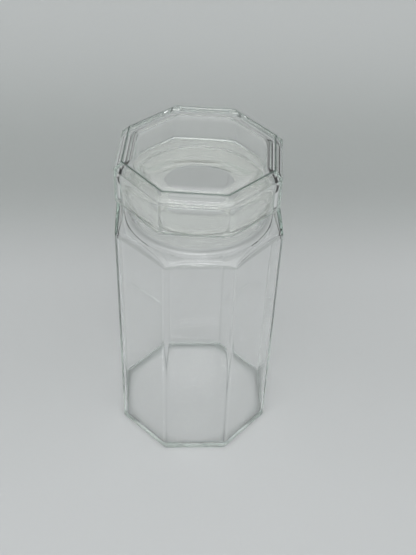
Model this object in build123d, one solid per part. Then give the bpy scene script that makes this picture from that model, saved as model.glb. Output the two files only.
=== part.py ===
from build123d import *
import os
from math import cos, radians

# Lidded glass canister: an octagonal jar with a round neck, a soft seal ring
# that plugs into the neck, and a hollow octagonal glass lid that sits on the
# ring. Millimetres, +Z up, origin at the middle of the foot, a flat to the front.

# Jar
body_across_flats = 104.0
body_edge_rounding = 3.0
shoulder_height = 180.5
shoulder_fall = 3.8
shoulder_edge_rounding = 1.2
heel_rounding = 1.6
side_wall = 2.4
inside_edge_rounding = 5.0
base_thickness = 3.2
floor_rounding = 2.5
inside_shoulder_rounding = 5.0
foot_hollow_depth = 1.0
foot_ring_width = 8.0

# Neck of the jar, set in from the flats by a ledge all round
shoulder_ledge = 7.6
neck_wall = 2.6
neck_height = 15.5
neck_foot_rounding = 2.2
rim_rounding = 1.0

# Seal ring: a plug skirt with sealing fins, a thin web across it with a round hole, a flange
# and a collar
skirt_wall = 1.2
skirt_depth = 13.5
skirt_lead_in = 0.5
fin_reach = 0.55
fin_thickness = 1.4
fin_drop = 3.5
fin_pitch = 4.0
fin_count = 2
web_drop = 1.0
web_thickness = 1.0
web_hole_diameter = 45.0
flange_thickness = 2.0
flange_overhang = 4.1
collar_wall = 0.95
collar_height = 2.0

# Lid
lid_height = 28.0
lid_wall = 3.0
lid_mouth_ledge = 2.1
lid_top_thickness = 3.5
lid_bevel = 4.7
lid_edge_rounding = 0.8
lid_foot_rounding = 1.2
lid_mouth_rounding = 0.4
lid_inside_edge_rounding = 14.0
lid_ceiling_rounding = 11.0
lid_turn = -5.37

# Fits
fin_clearance = 0.08
collar_clearance = 0.05
seat_clearance = 0.05

# Sizes that follow
side_count = 8
half_side = 180 / side_count
seam_turn = half_side / 2
body_apothem = body_across_flats / 2
inside_apothem = body_apothem - side_wall
neck_radius = body_apothem - shoulder_ledge
bore_radius = neck_radius - neck_wall
rim_height = shoulder_height + neck_height
flange_bottom = rim_height + seat_clearance
flange_top = flange_bottom + flange_thickness
lid_bottom = flange_top + seat_clearance
lid_top = lid_bottom + lid_height
mouth_apothem = neck_radius + lid_mouth_ledge
lid_apothem = mouth_apothem + lid_wall


def octagon_prism(apothem, bottom, top, edge_rounding):
    """Upright octagonal prism with a flat to the front and rounded upright edges."""
    outline = RegularPolygon(apothem, side_count, major_radius=False, rotation=half_side)
    if edge_rounding:
        outline = fillet(outline.vertices(), edge_rounding)
    return Pos(0, 0, bottom) * extrude(outline, top - bottom)


def turned(*edges):
    """Solid of revolution about Z from a closed outline of (radius, height) edges."""
    # The seam lies between the middle of a flat and a corner, clear of both
    return Rot(0, 0, seam_turn) * revolve(Plane.XZ * make_face(Curve() + list(edges)), Axis.Z)


def bottle_form(apothem, edge_rounding, bottom, top, neck, foot_rounding, shoulder, fall):
    """Octagonal bottle: a domed shoulder of revolution trims the prism in scallops."""
    corner_radius = apothem / cos(radians(half_side))
    foot = (neck + foot_rounding, shoulder)
    corner = (corner_radius, shoulder - fall)
    neck_start = (neck, shoulder + foot_rounding)
    envelope = turned(
        Polyline((0, top), (0, bottom), (corner_radius, bottom), corner),
        TangentArc(foot, corner, tangent=(1, 0)),
        TangentArc(foot, neck_start, tangent=(-1, 0)),
        Polyline(neck_start, (neck, top), (0, top)),
    )
    return octagon_prism(apothem, bottom, top, edge_rounding) & envelope


def edges_between(solid, low, high):
    """Edges whose middle lies between two heights."""
    return solid.edges().filter_by(lambda edge: low < edge.center().Z < high)


# Jar outside
near = 0.1
jar_outside = bottle_form(
    body_apothem,
    body_edge_rounding,
    0,
    rim_height,
    neck_radius,
    neck_foot_rounding,
    shoulder_height,
    shoulder_fall,
)
shoulder_edges = edges_between(jar_outside, shoulder_height - shoulder_fall, shoulder_height - near)
jar_outside = fillet(shoulder_edges.filter_by(GeomType.BSPLINE), shoulder_edge_rounding)
jar_outside = fillet(edges_between(jar_outside, -near, near), heel_rounding)

# Jar inside, the same form set in by the wall
inside_foot_rounding = neck_foot_rounding + neck_wall
inside_shoulder = shoulder_height - neck_wall
jar_inside = bottle_form(
    inside_apothem,
    inside_edge_rounding,
    base_thickness,
    rim_height,
    bore_radius,
    inside_foot_rounding,
    inside_shoulder,
    shoulder_fall,
)
inside_edges = edges_between(jar_inside, inside_shoulder - shoulder_fall, inside_shoulder - near)
jar_inside = fillet(inside_edges.filter_by(GeomType.BSPLINE), inside_shoulder_rounding)
jar_inside = fillet(edges_between(jar_inside, base_thickness - near, base_thickness + near), floor_rounding)

# Hollow under the foot, which leaves a flat ring to stand on
hollow_radius = body_apothem - foot_ring_width
hollow_sphere_radius = (hollow_radius**2 + foot_hollow_depth**2) / (2 * foot_hollow_depth)
foot_hollow = Pos(0, 0, foot_hollow_depth - hollow_sphere_radius) * Sphere(hollow_sphere_radius)

jar_body = jar_outside - jar_inside - foot_hollow
jar_body = fillet(edges_between(jar_body, rim_height - near, rim_height + near), rim_rounding)

# Seal ring
fin_radius = bore_radius - fin_clearance
skirt_outer = fin_radius - fin_reach
skirt_inner = skirt_outer - skirt_wall
skirt_bottom = rim_height - skirt_depth
flange_radius = neck_radius + flange_overhang
collar_outer = mouth_apothem - collar_clearance
collar_inner = collar_outer - collar_wall
collar_top = flange_top + collar_height
web_top = flange_top - web_drop
web_bottom = web_top - web_thickness
web_hole = web_hole_diameter / 2
seal_outline = [
    (skirt_inner, flange_top),
    (skirt_inner, web_top),
    (web_hole, web_top),
    (web_hole, web_bottom),
    (skirt_inner, web_bottom),
    (skirt_inner, skirt_bottom),
    (skirt_outer - skirt_lead_in, skirt_bottom),
    (skirt_outer, skirt_bottom + skirt_lead_in),
]
for fin in reversed(range(fin_count)):
    fin_top = flange_bottom - fin_drop - fin * fin_pitch
    seal_outline += [
        (skirt_outer, fin_top - fin_thickness),
        (fin_radius, fin_top - fin_thickness / 2),
        (fin_radius, fin_top - fin_thickness / 4),
        (skirt_outer, fin_top),
    ]
seal_outline += [
    (skirt_outer, flange_bottom),
    (flange_radius, flange_bottom),
    (flange_radius, flange_top),
    (collar_outer, flange_top),
    (collar_outer, collar_top),
    (collar_inner, collar_top),
    (collar_inner, flange_top),
]
seal_ring = turned(Polyline(*seal_outline, close=True))

# Lid
lid_outside = octagon_prism(lid_apothem, lid_bottom, lid_top, 0)
lid_outside = chamfer(edges_between(lid_outside, lid_top - near, lid_top + near), lid_bevel)
upper_edges = edges_between(lid_outside, lid_bottom + near, lid_top + near)
lid_outside = fillet(upper_edges, lid_edge_rounding)
lid_outside = fillet(edges_between(lid_outside, lid_bottom - near, lid_bottom + near), lid_foot_rounding)
cavity_top = lid_top - lid_top_thickness
lid_cavity = octagon_prism(mouth_apothem, lid_bottom, cavity_top, lid_inside_edge_rounding)
lid_cavity = fillet(edges_between(lid_cavity, cavity_top - near, cavity_top + near), lid_ceiling_rounding)
lid = lid_outside - lid_cavity
seat = lid.faces().sort_by(Axis.Z)[0]
mouth_edges = seat.inner_wires()[0].edges()
lid = Rot(0, 0, lid_turn) * fillet(mouth_edges, lid_mouth_rounding)

os.makedirs("parts", exist_ok=True)
for name, piece in {"jar_body": jar_body, "seal_ring": seal_ring, "lid": lid}.items():
    export_step(piece, f"parts/{name}.step")
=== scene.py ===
import bpy
import numpy as np
from mathutils import Matrix, Vector


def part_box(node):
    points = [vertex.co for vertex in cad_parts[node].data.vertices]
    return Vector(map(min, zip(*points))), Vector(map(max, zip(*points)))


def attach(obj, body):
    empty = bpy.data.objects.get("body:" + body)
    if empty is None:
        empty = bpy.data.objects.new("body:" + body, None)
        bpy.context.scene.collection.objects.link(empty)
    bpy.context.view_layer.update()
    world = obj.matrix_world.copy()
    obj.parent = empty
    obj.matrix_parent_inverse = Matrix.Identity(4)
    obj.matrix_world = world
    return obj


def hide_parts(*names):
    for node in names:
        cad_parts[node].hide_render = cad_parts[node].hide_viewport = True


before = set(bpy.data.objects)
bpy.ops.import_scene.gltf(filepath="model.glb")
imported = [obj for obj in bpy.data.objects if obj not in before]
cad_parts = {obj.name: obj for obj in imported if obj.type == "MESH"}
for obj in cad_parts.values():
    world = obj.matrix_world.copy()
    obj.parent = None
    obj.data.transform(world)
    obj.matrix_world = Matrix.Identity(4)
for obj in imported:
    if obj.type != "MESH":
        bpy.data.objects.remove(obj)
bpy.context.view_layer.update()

# The jar: one piece of clear, faintly green pressed glass. Straight octagonal sides with soft
# upright edges, a domed shoulder that meets the flats in scallops, a round fire-polished neck,
# and a flat base with a shallow hollow under it, so that it stands on a ring.
mm = 0.001
sides = 8
side_turn = 2 * np.pi / sides
half_turn = side_turn / 2
jar_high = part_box("jar_body")[1]
jar_apothem = jar_high.x
jar_edge_rounding = 3.0 * mm
jar_heel_rounding = 1.6 * mm
jar_wall = 2.4 * mm
jar_inside_edge_rounding = 5.0 * mm
jar_base_thickness = 3.2 * mm
jar_floor_rounding = 2.5 * mm
foot_ring_width = 8.0 * mm
foot_hollow_depth = 1.0 * mm
rim_height = jar_high.z
rim_rounding = 1.0 * mm
neck_height = 15.5 * mm
neck_ledge = 7.6 * mm
neck_wall = 2.6 * mm
neck_foot_rounding = 2.2 * mm
shoulder_fall = 3.8 * mm
shoulder_edge_rounding = 1.2 * mm
shoulder_inside_rounding = 5.0 * mm
shoulder_height = rim_height - neck_height
neck_radius = jar_apothem - neck_ledge
bore_radius = neck_radius - neck_wall
inside_apothem = jar_apothem - jar_wall
inside_foot_rounding = neck_foot_rounding + neck_wall
inside_shoulder = shoulder_height - neck_wall
# For the grid: the least rounding of a corner, the plain wall kept above the heel, and the share
# of the radius at which the rows stop and a fan closes the end
least_rounding = 0.05 * mm
wall_from_heel = 2.0 * mm
pole_share = 0.08
# How dark the painted shade on the heel's rows is
heel_painted_shade = 0.45


def columns_round(apothem, rounding, even=40, close=12, spread=1.3):
    """Angles of the grid's columns: evenly spaced, with a closer set across each rounded corner,
    whose half width is half a side's turn less the angle at which the flat ends."""
    flat_end = np.arctan((apothem - rounding) * np.tan(half_turn) / apothem)
    reach = (half_turn - flat_end) * spread
    corner = half_turn + np.linspace(-reach, reach, close)
    level = np.linspace(0, side_turn, even, endpoint=False)
    level = level[np.abs(level - half_turn) > reach]
    one_side = np.sort(np.concatenate([level, corner]))
    return (np.arange(sides)[:, None] * side_turn + one_side).ravel()


def octagon_rows(angle, apothem, rounding, height):
    """Rows of an octagon with rounded corners. On a flat the radius is the apothem over the cosine
    of the angle from the flat's middle; round a corner it is the far crossing of the ray with a
    circle of the rounding's radius, whose centre lies on the corner's own ray."""
    apothem, rounding, height = [
        np.atleast_1d(np.asarray(value, float))[:, None] for value in (apothem, rounding, height)
    ]
    rounding = np.maximum(rounding, least_rounding)
    from_flat = np.abs((angle + half_turn) % side_turn - half_turn)[None, :]
    from_corner = half_turn - from_flat
    flat_end = np.arctan((apothem - rounding) * np.tan(half_turn) / apothem)
    centre = (apothem - rounding) / np.cos(half_turn)
    chord = np.sqrt(np.maximum(rounding**2 - (centre * np.sin(from_corner)) ** 2, 0))
    radius = np.where(
        from_flat < flat_end, apothem / np.cos(from_flat), centre * np.cos(from_corner) + chord
    )
    return radius, np.broadcast_to(height, radius.shape)


def round_rows(angle, radius, height):
    """Rows of a body of revolution: one radius and height a row, the same at every angle."""
    radius, height = np.broadcast_arrays(np.atleast_1d(radius), np.atleast_1d(height))
    level = np.ones_like(angle)[None, :]
    return radius[:, None] * level, height[:, None] * level


def quarter(count):
    """Angles of a quarter turn, from 0 to a right angle."""
    return np.linspace(0, np.pi / 2, count)


def bent_rows(start, corner, end, count):
    """Rows round a corner between two stretches: a conic that leaves start towards corner and
    comes into end from corner, which is a circular arc when both legs are as long. Each of the
    three holds the radius and the height at every angle."""
    start, corner, end = [np.stack(point) for point in (start, corner, end)]
    leg_in, leg_out = start - corner, end - corner
    lengths = np.linalg.norm(leg_in, axis=0) * np.linalg.norm(leg_out, axis=0)
    between = np.arccos(np.clip((leg_in * leg_out).sum(0) / lengths, -1, 1))
    weight = np.sin(between / 2)
    step = np.linspace(0, 1, count)[:, None, None]
    before, middle, after = (1 - step) ** 2, 2 * weight * step * (1 - step), step**2
    rows = (before * start + middle * corner + after * end) / (before + middle + after)
    return rows[:, 0], rows[:, 1]


def shoulder_rows(wall, wall_from, neck, foot_rounding, shoulder, fall, corner_radius, edge_rounding):
    """Rows up a flat side, over the scalloped edge and across the dome to the foot of the neck.
    The dome is an arc of revolution, level at the neck's foot and down by the fall at the corner
    radius: its height is that of a circle of radius (fall squared + run squared) / (2 fall)."""
    foot = neck + foot_rounding
    run = corner_radius - foot
    bend = (fall**2 + run**2) / (2 * fall)

    def dome(radius):
        return shoulder - bend + np.sqrt(bend**2 - (radius - foot) ** 2)

    edge = dome(wall)
    slope = np.arcsin((wall - foot) / bend)
    leg = edge_rounding * np.tan((np.pi / 2 - slope) / 2)
    on_dome = wall - leg * np.cos(slope)
    side_steps, edge_steps, dome_steps = 14, 8, 12
    up = np.linspace(0, 1, side_steps)[:, None]
    side = wall + 0 * up, wall_from + up * (edge - leg - wall_from)
    turn = bent_rows((wall, edge - leg), (wall, edge), (on_dome, dome(on_dome)), edge_steps)
    inward = np.linspace(0, 1, dome_steps)[1:, None]
    across = on_dome + inward * (foot - on_dome)
    return [side, (turn[0][1:], turn[1][1:]), (across, dome(across))]


def skin(name, angle, stretches, ring=False, edge=None):
    """A closed skin through stretches of rows: each point is its radius turned to its column's
    angle, at its height. The ends close in one point on the axis, or on each other in a ring.
    edge, if given, gives each row's weight of painted shade, and is kept as an attribute."""
    radius = np.concatenate([stretch[0] for stretch in stretches])
    height = np.concatenate([stretch[1] for stretch in stretches])
    rows, columns = radius.shape
    points = np.stack([radius * np.cos(angle), radius * np.sin(angle), height], axis=-1)
    index = np.arange(rows * columns).reshape(rows, columns)
    low = index if ring else index[:-1]
    high = np.roll(index, -1, axis=0) if ring else index[1:]
    quads = np.stack([low, np.roll(low, -1, 1), np.roll(high, -1, 1), high], axis=-1).reshape(-1, 4)
    faces = quads.tolist()
    points = points.reshape(-1, 3)
    if not ring:
        ends = np.array([[0, 0, height[0].mean()], [0, 0, height[-1].mean()]])
        first, last = len(points), len(points) + 1
        points = np.concatenate([points, ends])
        start_fan = np.stack([np.full(columns, first), np.roll(index[0], -1), index[0]], axis=-1)
        end_fan = np.stack([np.full(columns, last), index[-1], np.roll(index[-1], -1)], axis=-1)
        faces += start_fan.tolist() + end_fan.tolist()
    mesh = bpy.data.meshes.new(name)
    mesh.from_pydata(points.tolist(), [], faces)
    mesh.shade_smooth()
    if edge is not None:
        at_points = np.append(np.repeat(edge, columns), [0.0, 0.0]).astype(np.float32)
        mesh.attributes.new("edge", "FLOAT", "POINT").data.foreach_set("value", at_points)
    mesh.validate()
    piece = bpy.data.objects.new(name, mesh)
    bpy.context.scene.collection.objects.link(piece)
    return piece


class Socket:
    """A shader socket that takes part in Python expressions: each operator adds a Math node."""

    def __init__(self, tree, link):
        self.tree = tree
        self.link = link

    def math(self, operation, *values):
        """The result of one Math node on these values or sockets."""
        return self.node("ShaderNodeMath", {"operation": operation}, dict(enumerate(values)))

    def node(self, kind, settings, inputs, output=0):
        """Any node: its settings are set first, then its sockets by name or number."""
        made = self.tree.nodes.new(kind)
        for key, value in settings.items():
            setattr(made, key, value)
        for key, value in inputs.items():
            if isinstance(value, Socket):
                self.tree.links.new(value.link, made.inputs[key])
            else:
                made.inputs[key].default_value = value
        return Socket(self.tree, made.outputs[output])

    def noise(self, scale, detail):
        """Noise over these coordinates, with about this many grains to the metre."""
        return self.node("ShaderNodeTexNoise", {}, {"Vector": self, "Scale": scale, "Detail": detail})

    def eased(self, start, stop, low, high):
        """A smooth step from low to high while this value goes from start to stop."""
        limits = {"From Min": start, "From Max": stop, "To Min": low, "To Max": high}
        smooth = {"interpolation_type": "SMOOTHSTEP"}
        return self.node("ShaderNodeMapRange", smooth, {"Value": self, **limits})

    def between(self, first, second):
        """A colour that goes from first to second while this value goes from 0 to 1."""
        colours = {6: (*first, 1.0), 7: (*second, 1.0)}
        return self.node("ShaderNodeMix", {"data_type": "RGBA"}, {0: self, **colours}, output=2)

    def relief(self, strength, depth):
        """A surface normal bent as by a relief of this depth, as high as this value."""
        return self.node("ShaderNodeBump", {}, {"Strength": strength, "Distance": depth, "Height": self})

    def along(self, aim):
        """How far this direction points the way of another: their dot product."""
        dot_product = {"operation": "DOT_PRODUCT"}
        return self.node("ShaderNodeVectorMath", dot_product, {0: self, 1: aim}, output=1)

    def __add__(self, other):
        return self.math("ADD", self, other)

    def __radd__(self, other):
        return self.math("ADD", other, self)

    def __sub__(self, other):
        return self.math("SUBTRACT", self, other)

    def __rsub__(self, other):
        return self.math("SUBTRACT", other, self)

    def __mul__(self, other):
        return self.math("MULTIPLY", self, other)

    def __rmul__(self, other):
        return self.math("MULTIPLY", other, self)


def new_material(name):
    """An empty material: its tree, its output node and a socket for its Object coordinates."""
    material = bpy.data.materials.new(name)
    material.use_nodes = True
    tree = material.node_tree
    tree.nodes.clear()
    output = tree.nodes.new("ShaderNodeOutputMaterial")
    place = Socket(tree, tree.nodes.new("ShaderNodeTexCoord").outputs["Object"])
    return material, tree, output, place


def clear_glass(name, ripple_size, ripple_depth):
    """Soda-lime glass: clear, greener the further light travels in it, with painted shade on its edges,
    where a dark tint and more roughness, weighed by the edge attribute, stand in for the dark outlines
    of the glass; also the faint ripple that a mould leaves and a breath of handling marks in its polish."""
    painted_edge_shade_colour = (0.12, 0.17, 0.15)
    edge_shade_roughness = 0.4
    handling_marks = 0.02
    material, tree, output, place = new_material(name)
    # The edge attribute says how strongly painted shade darkens and blurs each row of the glass.
    edge = place.node("ShaderNodeAttribute", {"attribute_name": "edge"}, {}, output=2)
    ripple = place.noise(scale=1 / ripple_size, detail=1.0)
    marks = place.noise(scale=60.0, detail=6.0)
    glass = place.node(
        "ShaderNodeBsdfPrincipled",
        {},
        {
            "Base Color": edge.between((1.0, 1.0, 1.0), painted_edge_shade_colour),
            "Transmission Weight": 1.0,
            "IOR": 1.5,
            "Roughness": marks * handling_marks + edge * edge_shade_roughness,
            "Normal": ripple.relief(strength=1.0, depth=ripple_depth),
        },
    )
    tint = place.node(
        "ShaderNodeVolumeAbsorption", {}, {"Color": (0.62, 0.86, 0.75, 1.0), "Density": 3.0}
    )
    tree.links.new(glass.link, output.inputs["Surface"])
    tree.links.new(tint.link, output.inputs["Volume"])
    return material


jar_angle = columns_round(jar_apothem, jar_edge_rounding)
heel = quarter(8)
heel_inset = jar_heel_rounding * (1 - np.sin(heel))
hollow_radius = jar_apothem - foot_ring_width
hollow = np.linspace(pole_share, 1, 10)
jar_side = octagon_rows(jar_angle, jar_apothem, jar_edge_rounding, 0)[0][0]
inside_side = octagon_rows(jar_angle, inside_apothem, jar_inside_edge_rounding, 0)[0][0]
jar_corner_radius = jar_apothem / np.cos(half_turn)
inside_corner_radius = inside_apothem / np.cos(half_turn)
neck_foot = quarter(10)
rim_arc = quarter(8)
inside_foot = quarter(14)
floor_arc = quarter(12)
floor_inset = jar_floor_rounding * (1 - np.cos(floor_arc))
floor_steps = np.linspace(1, pole_share, 8)[1:]
floor_edge = octagon_rows(
    jar_angle, inside_apothem - jar_floor_rounding, jar_inside_edge_rounding - jar_floor_rounding, 0
)[0]
inside_rows = shoulder_rows(
    inside_side,
    jar_base_thickness + jar_floor_rounding,
    bore_radius,
    inside_foot_rounding,
    inside_shoulder,
    shoulder_fall,
    inside_corner_radius,
    shoulder_inside_rounding,
)
jar_rows = [
    round_rows(jar_angle, hollow_radius * hollow, foot_hollow_depth * (1 - hollow**2)),
    octagon_rows(
        jar_angle,
        jar_apothem - heel_inset,
        jar_edge_rounding - heel_inset,
        jar_heel_rounding * (1 - np.cos(heel)),
    ),
    *shoulder_rows(
        jar_side,
        jar_heel_rounding + wall_from_heel,
        neck_radius,
        neck_foot_rounding,
        shoulder_height,
        shoulder_fall,
        jar_corner_radius,
        shoulder_edge_rounding,
    ),
    round_rows(
        jar_angle,
        neck_radius + neck_foot_rounding * (1 - np.sin(neck_foot[1:])),
        shoulder_height + neck_foot_rounding * (1 - np.cos(neck_foot[1:])),
    ),
    round_rows(
        jar_angle,
        neck_radius - rim_rounding * (1 - np.cos(rim_arc)),
        rim_height - rim_rounding * (1 - np.sin(rim_arc)),
    ),
    round_rows(
        jar_angle,
        bore_radius + rim_rounding * (1 - np.sin(rim_arc)),
        rim_height - rim_rounding * (1 - np.cos(rim_arc)),
    ),
    round_rows(
        jar_angle,
        bore_radius + inside_foot_rounding * (1 - np.cos(inside_foot)),
        inside_shoulder + inside_foot_rounding * (1 - np.sin(inside_foot)),
    ),
    *[(radius[::-1], height[::-1]) for radius, height in reversed(inside_rows)],
    octagon_rows(
        jar_angle,
        inside_apothem - floor_inset[1:],
        jar_inside_edge_rounding - floor_inset[1:],
        jar_base_thickness + jar_floor_rounding * (1 - np.sin(floor_arc[1:])),
    ),
    (floor_steps[:, None] * floor_edge, np.full((len(floor_steps), len(jar_angle)), jar_base_thickness)),
]
# Painted shade: the heel's rows carry a dark tint that stands in for the dark line and contact shadow
# along the foot.
jar_edge_shade = np.zeros(sum(len(radius) for radius, height in jar_rows))
jar_edge_shade[len(hollow) : len(hollow) + len(heel)] = heel_painted_shade
jar_body = skin("jar_body_glass", jar_angle, jar_rows, edge=jar_edge_shade)
jar_body.data.materials.append(clear_glass("jar_glass", ripple_size=25 * mm, ripple_depth=0.02 * mm))
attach(jar_body, "jar")
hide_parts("jar_body")

# The seal ring: one soft, milky, see-through plastic moulding. Its skirt plugs into the neck with
# two thin fins that bear on the bore, a thin web with a round hole crosses it, its flange lies on
# the rim and carries the lid, and its collar keeps the mouth of the lid in place.
seal_low, seal_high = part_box("seal_ring")
skirt_wall = 1.2 * mm
skirt_lead_in = 0.5 * mm
fin_clearance = 0.08 * mm
fin_reach = 0.55 * mm
fin_thickness = 1.4 * mm
fin_drop = 3.5 * mm
fin_pitch = 4.0 * mm
fin_count = 2
web_drop = 1.0 * mm
web_thickness = 1.0 * mm
web_hole = 22.5 * mm
seat_clearance = 0.05 * mm
flange_thickness = 2.0 * mm
flange_radius = seal_high.x
collar_wall = 0.95 * mm
collar_clearance = 0.05 * mm
mouth_ledge = 2.1 * mm
moulded_edge = 0.25 * mm
fin_radius = bore_radius - fin_clearance
skirt_outer = fin_radius - fin_reach
skirt_inner = skirt_outer - skirt_wall
skirt_bottom = seal_low.z
flange_bottom = rim_height + seat_clearance
flange_top = flange_bottom + flange_thickness
collar_top = seal_high.z
mouth_apothem = neck_radius + mouth_ledge
collar_outer = mouth_apothem - collar_clearance
collar_inner = collar_outer - collar_wall
web_top = flange_top - web_drop
web_bottom = web_top - web_thickness
seal_outline = [
    (skirt_inner, flange_top),
    (skirt_inner, web_top),
    (web_hole, web_top),
    (web_hole, web_bottom),
    (skirt_inner, web_bottom),
    (skirt_inner, skirt_bottom),
    (skirt_outer - skirt_lead_in, skirt_bottom),
    (skirt_outer, skirt_bottom + skirt_lead_in),
]
for fin in reversed(range(fin_count)):
    fin_top = flange_bottom - fin_drop - fin * fin_pitch
    seal_outline += [
        (skirt_outer, fin_top - fin_thickness),
        (fin_radius, fin_top - fin_thickness / 2),
        (fin_radius, fin_top - fin_thickness / 4),
        (skirt_outer, fin_top),
    ]
seal_outline += [
    (skirt_outer, flange_bottom),
    (flange_radius, flange_bottom),
    (flange_radius, flange_top),
    (collar_outer, flange_top),
    (collar_outer, collar_top),
    (collar_inner, collar_top),
    (collar_inner, flange_top),
]


def soft_edged(outline, rounding, count=4):
    """A closed outline with each corner rounded: two legs of the rounding's length, or a third of
    the shorter side, joined by a parabola with its vertex handle at the corner."""
    corner = np.array(outline)
    before, after = np.roll(corner, 1, 0) - corner, np.roll(corner, -1, 0) - corner
    length_before = np.linalg.norm(before, axis=1, keepdims=True)
    length_after = np.linalg.norm(after, axis=1, keepdims=True)
    leg = np.minimum(rounding, np.minimum(length_before, length_after) / 3)
    start = corner + before / length_before * leg
    end = corner + after / length_after * leg
    step = np.linspace(0, 1, count)[:, None, None]
    path = (1 - step) ** 2 * start + 2 * step * (1 - step) * corner + step**2 * end
    return path.transpose(1, 0, 2).reshape(-1, 2)


def milky_plastic(name):
    """Soft polyethylene: milky and a little see-through, waxy, with faint flow marks and dust."""
    material, tree, output, place = new_material(name)
    cloud = place.noise(scale=90.0, detail=3.0)
    grain = place.noise(scale=900.0, detail=4.0)
    plastic = place.node(
        "ShaderNodeBsdfPrincipled",
        {},
        {
            "Base Color": cloud.between((0.66, 0.68, 0.63), (0.74, 0.76, 0.72)),
            "Roughness": 0.32 + 0.2 * cloud,
            "IOR": 1.5,
            "Alpha": 0.12 + 0.08 * cloud,
            "Normal": grain.relief(strength=0.6, depth=0.03 * mm),
        },
    )
    tree.links.new(plastic.link, output.inputs["Surface"])
    return material


seal_columns = 320
seal_angle = np.linspace(0, 2 * np.pi, seal_columns, endpoint=False)
seal_path = soft_edged(seal_outline, moulded_edge)
seal_rows = round_rows(seal_angle, seal_path[:, 0], seal_path[:, 1])
seal_ring = skin("seal_ring_plastic", seal_angle, [seal_rows], ring=True)
seal_ring.data.materials.append(milky_plastic("seal_plastic"))
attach(seal_ring, "seal")
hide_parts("seal_ring")

# The lid: a second glass pressing, a thin octagonal cap with a flat top bevelled all round and a
# straight skirt. The plunger left its hollow with wide roundings. It sits loose on the seal's
# flange, turned a little against the jar.
lid_low, lid_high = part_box("lid")
lid_turn = np.radians(-5.37)
lid_wall = 3.0 * mm
lid_apothem = mouth_apothem + lid_wall
lid_bevel = 4.7 * mm
lid_edge_rounding = 0.8 * mm
lid_foot_rounding = 1.2 * mm
lid_mouth_rounding = 0.4 * mm
lid_top_thickness = 3.5 * mm
lid_inside_edge_rounding = 14.0 * mm
lid_ceiling_rounding = 11.0 * mm
# Painted shade on the lid's edges: how dark each edge's rows are tinted, standing in for the dark
# outlines of the glass, and how far the top edge's shaded line fades out.
top_edge_fade = 0.7 * mm
top_edge_painted_shade = 1.0
bevel_edge_painted_shade = 0.25
foot_edge_painted_shade = 0.5
mouth_edge_painted_shade = 0.7
lid_top = lid_high.z
lid_bottom = lid_low.z
lid_angle = columns_round(lid_apothem, lid_edge_rounding)


def bent_path(start, corner, end, rounding, count, beside=0.15 * mm):
    """Points round a corner of a plain outline: an arc of the rounding's radius that touches the
    legs towards start and end, and a point beside it on each leg, as rows of (across, height)."""
    start, corner, end = [np.array(point, float) for point in (start, corner, end)]
    to_start = (start - corner) / np.linalg.norm(start - corner)
    to_end = (end - corner) / np.linalg.norm(end - corner)
    half = np.arccos(np.clip(to_start @ to_end, -1, 1)) / 2
    leg = rounding / np.tan(half)
    first, last = corner + to_start * leg, corner + to_end * leg
    across, height = bent_rows(first[:, None], corner[:, None], last[:, None], count)
    before, after = first + to_start * beside, last + to_end * beside
    return np.r_[before[0], across[:, 0], after[0]], np.r_[before[1], height[:, 0], after[1]]


top_middle = (0, lid_top)
bevel_top = (lid_apothem - lid_bevel, lid_top)
bevel_foot = (lid_apothem, lid_top - lid_bevel)
skirt_foot = (lid_apothem, lid_bottom)
mouth = (mouth_apothem, lid_bottom)
cavity_top = lid_top - lid_top_thickness
top_edge = bent_path(top_middle, bevel_top, bevel_foot, lid_edge_rounding, 6, top_edge_fade)
bevel_edge = bent_path(bevel_top, bevel_foot, skirt_foot, lid_edge_rounding, 6)
foot_edge = bent_path(bevel_foot, skirt_foot, mouth, lid_foot_rounding, 8)
mouth_edge = bent_path(skirt_foot, mouth, (mouth_apothem, cavity_top), lid_mouth_rounding, 6)
ceiling_arc = quarter(48)
ceiling_across = mouth_apothem - lid_ceiling_rounding * (1 - np.cos(ceiling_arc))
ceiling_height = cavity_top - lid_ceiling_rounding * (1 - np.sin(ceiling_arc))
top_steps = np.linspace(pole_share, 1, 8)[:-1]
under_steps = np.linspace(1, pole_share, 8)[1:]
outside_across, outside_height = np.concatenate(
    [
        [top_edge[0][0] * top_steps, np.full(len(top_steps), lid_top)],
        top_edge,
        bevel_edge,
        foot_edge,
    ],
    axis=1,
)
outside_rounding = np.full(len(outside_across), lid_edge_rounding)
outside_rounding[: len(top_steps)] = lid_edge_rounding * top_steps
inside_across, inside_height = np.concatenate(
    [
        mouth_edge,
        [ceiling_across, ceiling_height],
        [ceiling_across[-1] * under_steps, np.full(len(under_steps), cavity_top)],
    ],
    axis=1,
)
inside_rounding = lid_inside_edge_rounding - np.maximum(mouth_apothem - inside_across, 0)
inside_rounding[-len(under_steps) :] = inside_rounding[-len(under_steps) - 1] * under_steps


def painted_edge_shade_rows(path, tint):
    """The painted shade of an edge's rows: full round the arc, none at the point beside it on each leg.
    """
    return np.r_[0, np.full(len(path[0]) - 2, tint), 0]


# Painted shade on each row of the lid's outside and inside.
outside_edge_shade = np.concatenate(
    [
        np.zeros(len(top_steps)),
        painted_edge_shade_rows(top_edge, top_edge_painted_shade),
        painted_edge_shade_rows(bevel_edge, bevel_edge_painted_shade),
        painted_edge_shade_rows(foot_edge, foot_edge_painted_shade),
    ]
)
inside_edge_shade = np.zeros(len(inside_across))
inside_edge_shade[: len(mouth_edge[0]) - 1] = mouth_edge_painted_shade
# The rows run from the middle of the ceiling down to the mouth, round the foot and up to the middle
# of the top, so that the faces point outwards.
lid_rows = [
    octagon_rows(lid_angle, inside_across[::-1], inside_rounding[::-1], inside_height[::-1]),
    octagon_rows(lid_angle, outside_across[::-1], outside_rounding[::-1], outside_height[::-1]),
]
lid_edge_shade = np.concatenate([inside_edge_shade[::-1], outside_edge_shade[::-1]])
lid = skin("lid_glass", lid_angle + lid_turn, lid_rows, edge=lid_edge_shade)
lid.data.materials.append(clear_glass("lid_glass", ripple_size=18 * mm, ripple_depth=0.02 * mm))
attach(lid, "lid")
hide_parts("lid")
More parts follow.
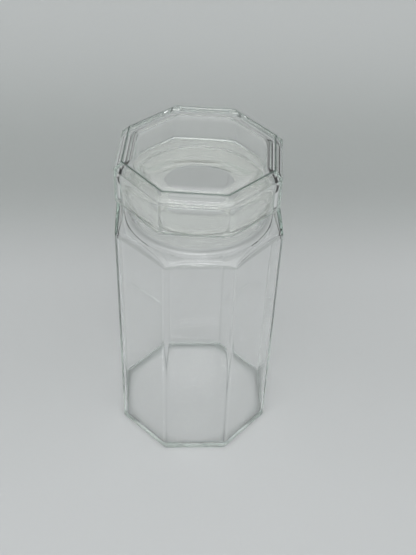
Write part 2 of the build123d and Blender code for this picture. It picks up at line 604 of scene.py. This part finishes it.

# The stage: a sheet of pale paper that lies flat under the canister and sweeps up behind it. Its shading
# is
# painted into its colour: paler in front, painted shade where it bends up, paler again where it rises.
# It is not part of the object.
sweep_from = 0.15
sweep_radius = 0.30
sheet_front = -0.7
sheet_half_width = 0.45
sheet_level = -0.05 * mm
sweep_share = 0.72
sweep_arc = sweep_share * quarter(40)
sheet_depth = np.r_[sheet_front, sweep_from + sweep_radius * np.sin(sweep_arc)]
sheet_rise = np.r_[sheet_level, sheet_level + sweep_radius * (1 - np.cos(sweep_arc))]
across_sheet = np.array([-sheet_half_width, sheet_half_width])
sheet_points = np.stack(np.broadcast_arrays(across_sheet[:, None], sheet_depth, sheet_rise), axis=-1)
sheet_rows = len(sheet_depth)
row = np.arange(sheet_rows - 1)
sheet_faces = np.stack([row, row + sheet_rows, row + sheet_rows + 1, row + 1], axis=-1)
sheet_mesh = bpy.data.meshes.new("paper_sweep")
sheet_mesh.from_pydata(sheet_points.reshape(-1, 3).tolist(), [], sheet_faces.tolist())
sheet_mesh.shade_smooth()
paper_sweep = bpy.data.objects.new("paper_sweep", sheet_mesh)
bpy.context.scene.collection.objects.link(paper_sweep)
paper, paper_tree, paper_output, paper_place = new_material("pale_paper")
fibre = paper_place.noise(scale=400.0, detail=3.0)
paper_depth = paper_place.node("ShaderNodeSeparateXYZ", {}, {0: paper_place}, output=1)
# Painted light and shade along the paper's depth, with fibre grain on top.
painted_light_in_front = paper_depth.eased(start=-0.15, stop=0.05, low=0.90, high=0.73)
painted_shade_at_bend = paper_depth.eased(start=0.12, stop=0.26, low=0.0, high=0.62)
painted_light_on_rise = paper_depth.eased(start=0.28, stop=0.43, low=0.0, high=0.49)
painted_shade_and_fibre = painted_light_in_front - painted_shade_at_bend + painted_light_on_rise + 0.04 * fibre
paper_colour = painted_shade_and_fibre.between((0.280, 0.294, 0.290), (0.561, 0.569, 0.579))
paper_face = paper_place.node(
    "ShaderNodeBsdfPrincipled", {}, {"Base Color": paper_colour, "Roughness": 0.9}
)
paper_tree.links.new(paper_face.link, paper_output.inputs["Surface"])
sheet_mesh.materials.append(paper)

# The light: a dim room with a wide soft light overhead and in front, a pale wall behind, and a soft
# panel above the camera.
world = bpy.data.worlds.new("dim_room")
world.use_nodes = True
room_tree = world.node_tree
room_tree.nodes.clear()
room_output = room_tree.nodes.new("ShaderNodeOutputWorld")
direction = Socket(room_tree, room_tree.nodes.new("ShaderNodeTexCoord").outputs["Generated"])
light_direction = (0.0, -0.6, 0.8)
wall_direction = (0.0, 0.8, 0.6)
wide_light = direction.along(light_direction).eased(start=0.35, stop=0.95, low=0.04, high=1.79)
wall_light = direction.along(wall_direction).eased(start=0.6, stop=0.9, low=0.0, high=0.48)
room = direction.node(
    "ShaderNodeBackground", {}, {"Color": (0.98, 1.0, 0.99, 1.0), "Strength": wide_light + wall_light}
)
room_tree.links.new(room.link, room_output.inputs["Surface"])
bpy.context.scene.world = world
canister_middle = Vector((0, 0, rim_height / 2))
panel_place = Vector((-0.1, -0.55, 0.75))
panel_light = bpy.data.lights.new("camera_panel", "AREA")
panel_light.shape = "RECTANGLE"
panel_light.size = 0.5
panel_light.size_y = 0.06
panel_light.energy = 0.6
panel = bpy.data.objects.new("camera_panel", panel_light)
bpy.context.scene.collection.objects.link(panel)
panel.location = panel_place
panel.rotation_euler = (canister_middle - panel_place).to_track_quat("-Z", "Y").to_euler()

# The camera: a phone-like lens, held above and in front of the canister and tilted a little. Its
# place and its lens were found from the corners of the lid, the shoulder and the foot.
picture_height_px = 555
focal_length_px = 877.96
sensor_long_side = 36.0
camera_distance = 593.2 * mm
camera_elevation = np.radians(42.85)
camera_roll = np.radians(2.37)
jar_turn = np.radians(3.59)
aim_point = Vector((7.7 * mm, 0, 121.1 * mm))
camera_data = bpy.data.cameras.new("camera")
camera_data.sensor_width = sensor_long_side
camera_data.lens = focal_length_px / picture_height_px * sensor_long_side
camera_data.clip_start = 10 * mm
camera = bpy.data.objects.new("camera", camera_data)
bpy.context.scene.collection.objects.link(camera)
to_aim = Matrix.Rotation(-jar_turn, 4, "Z") @ Matrix.Translation(aim_point)
tilt = Matrix.Rotation(np.pi / 2 - camera_elevation, 4, "X")
stand_off = Matrix.Translation((0, 0, camera_distance))
camera.matrix_world = to_aim @ tilt @ stand_off @ Matrix.Rotation(camera_roll, 4, "Z")
bpy.context.scene.camera = camera
bpy.context.scene.view_settings.view_transform = "Standard"

# Light crosses many glass walls here, so it is followed a long way and kept sharp.
glass_bounces = 40
cycles = bpy.context.scene.cycles
cycles.max_bounces = glass_bounces
cycles.transmission_bounces = glass_bounces
cycles.glossy_bounces = glass_bounces
cycles.transparent_max_bounces = glass_bounces
cycles.diffuse_bounces = 8
cycles.blur_glossy = 0.0
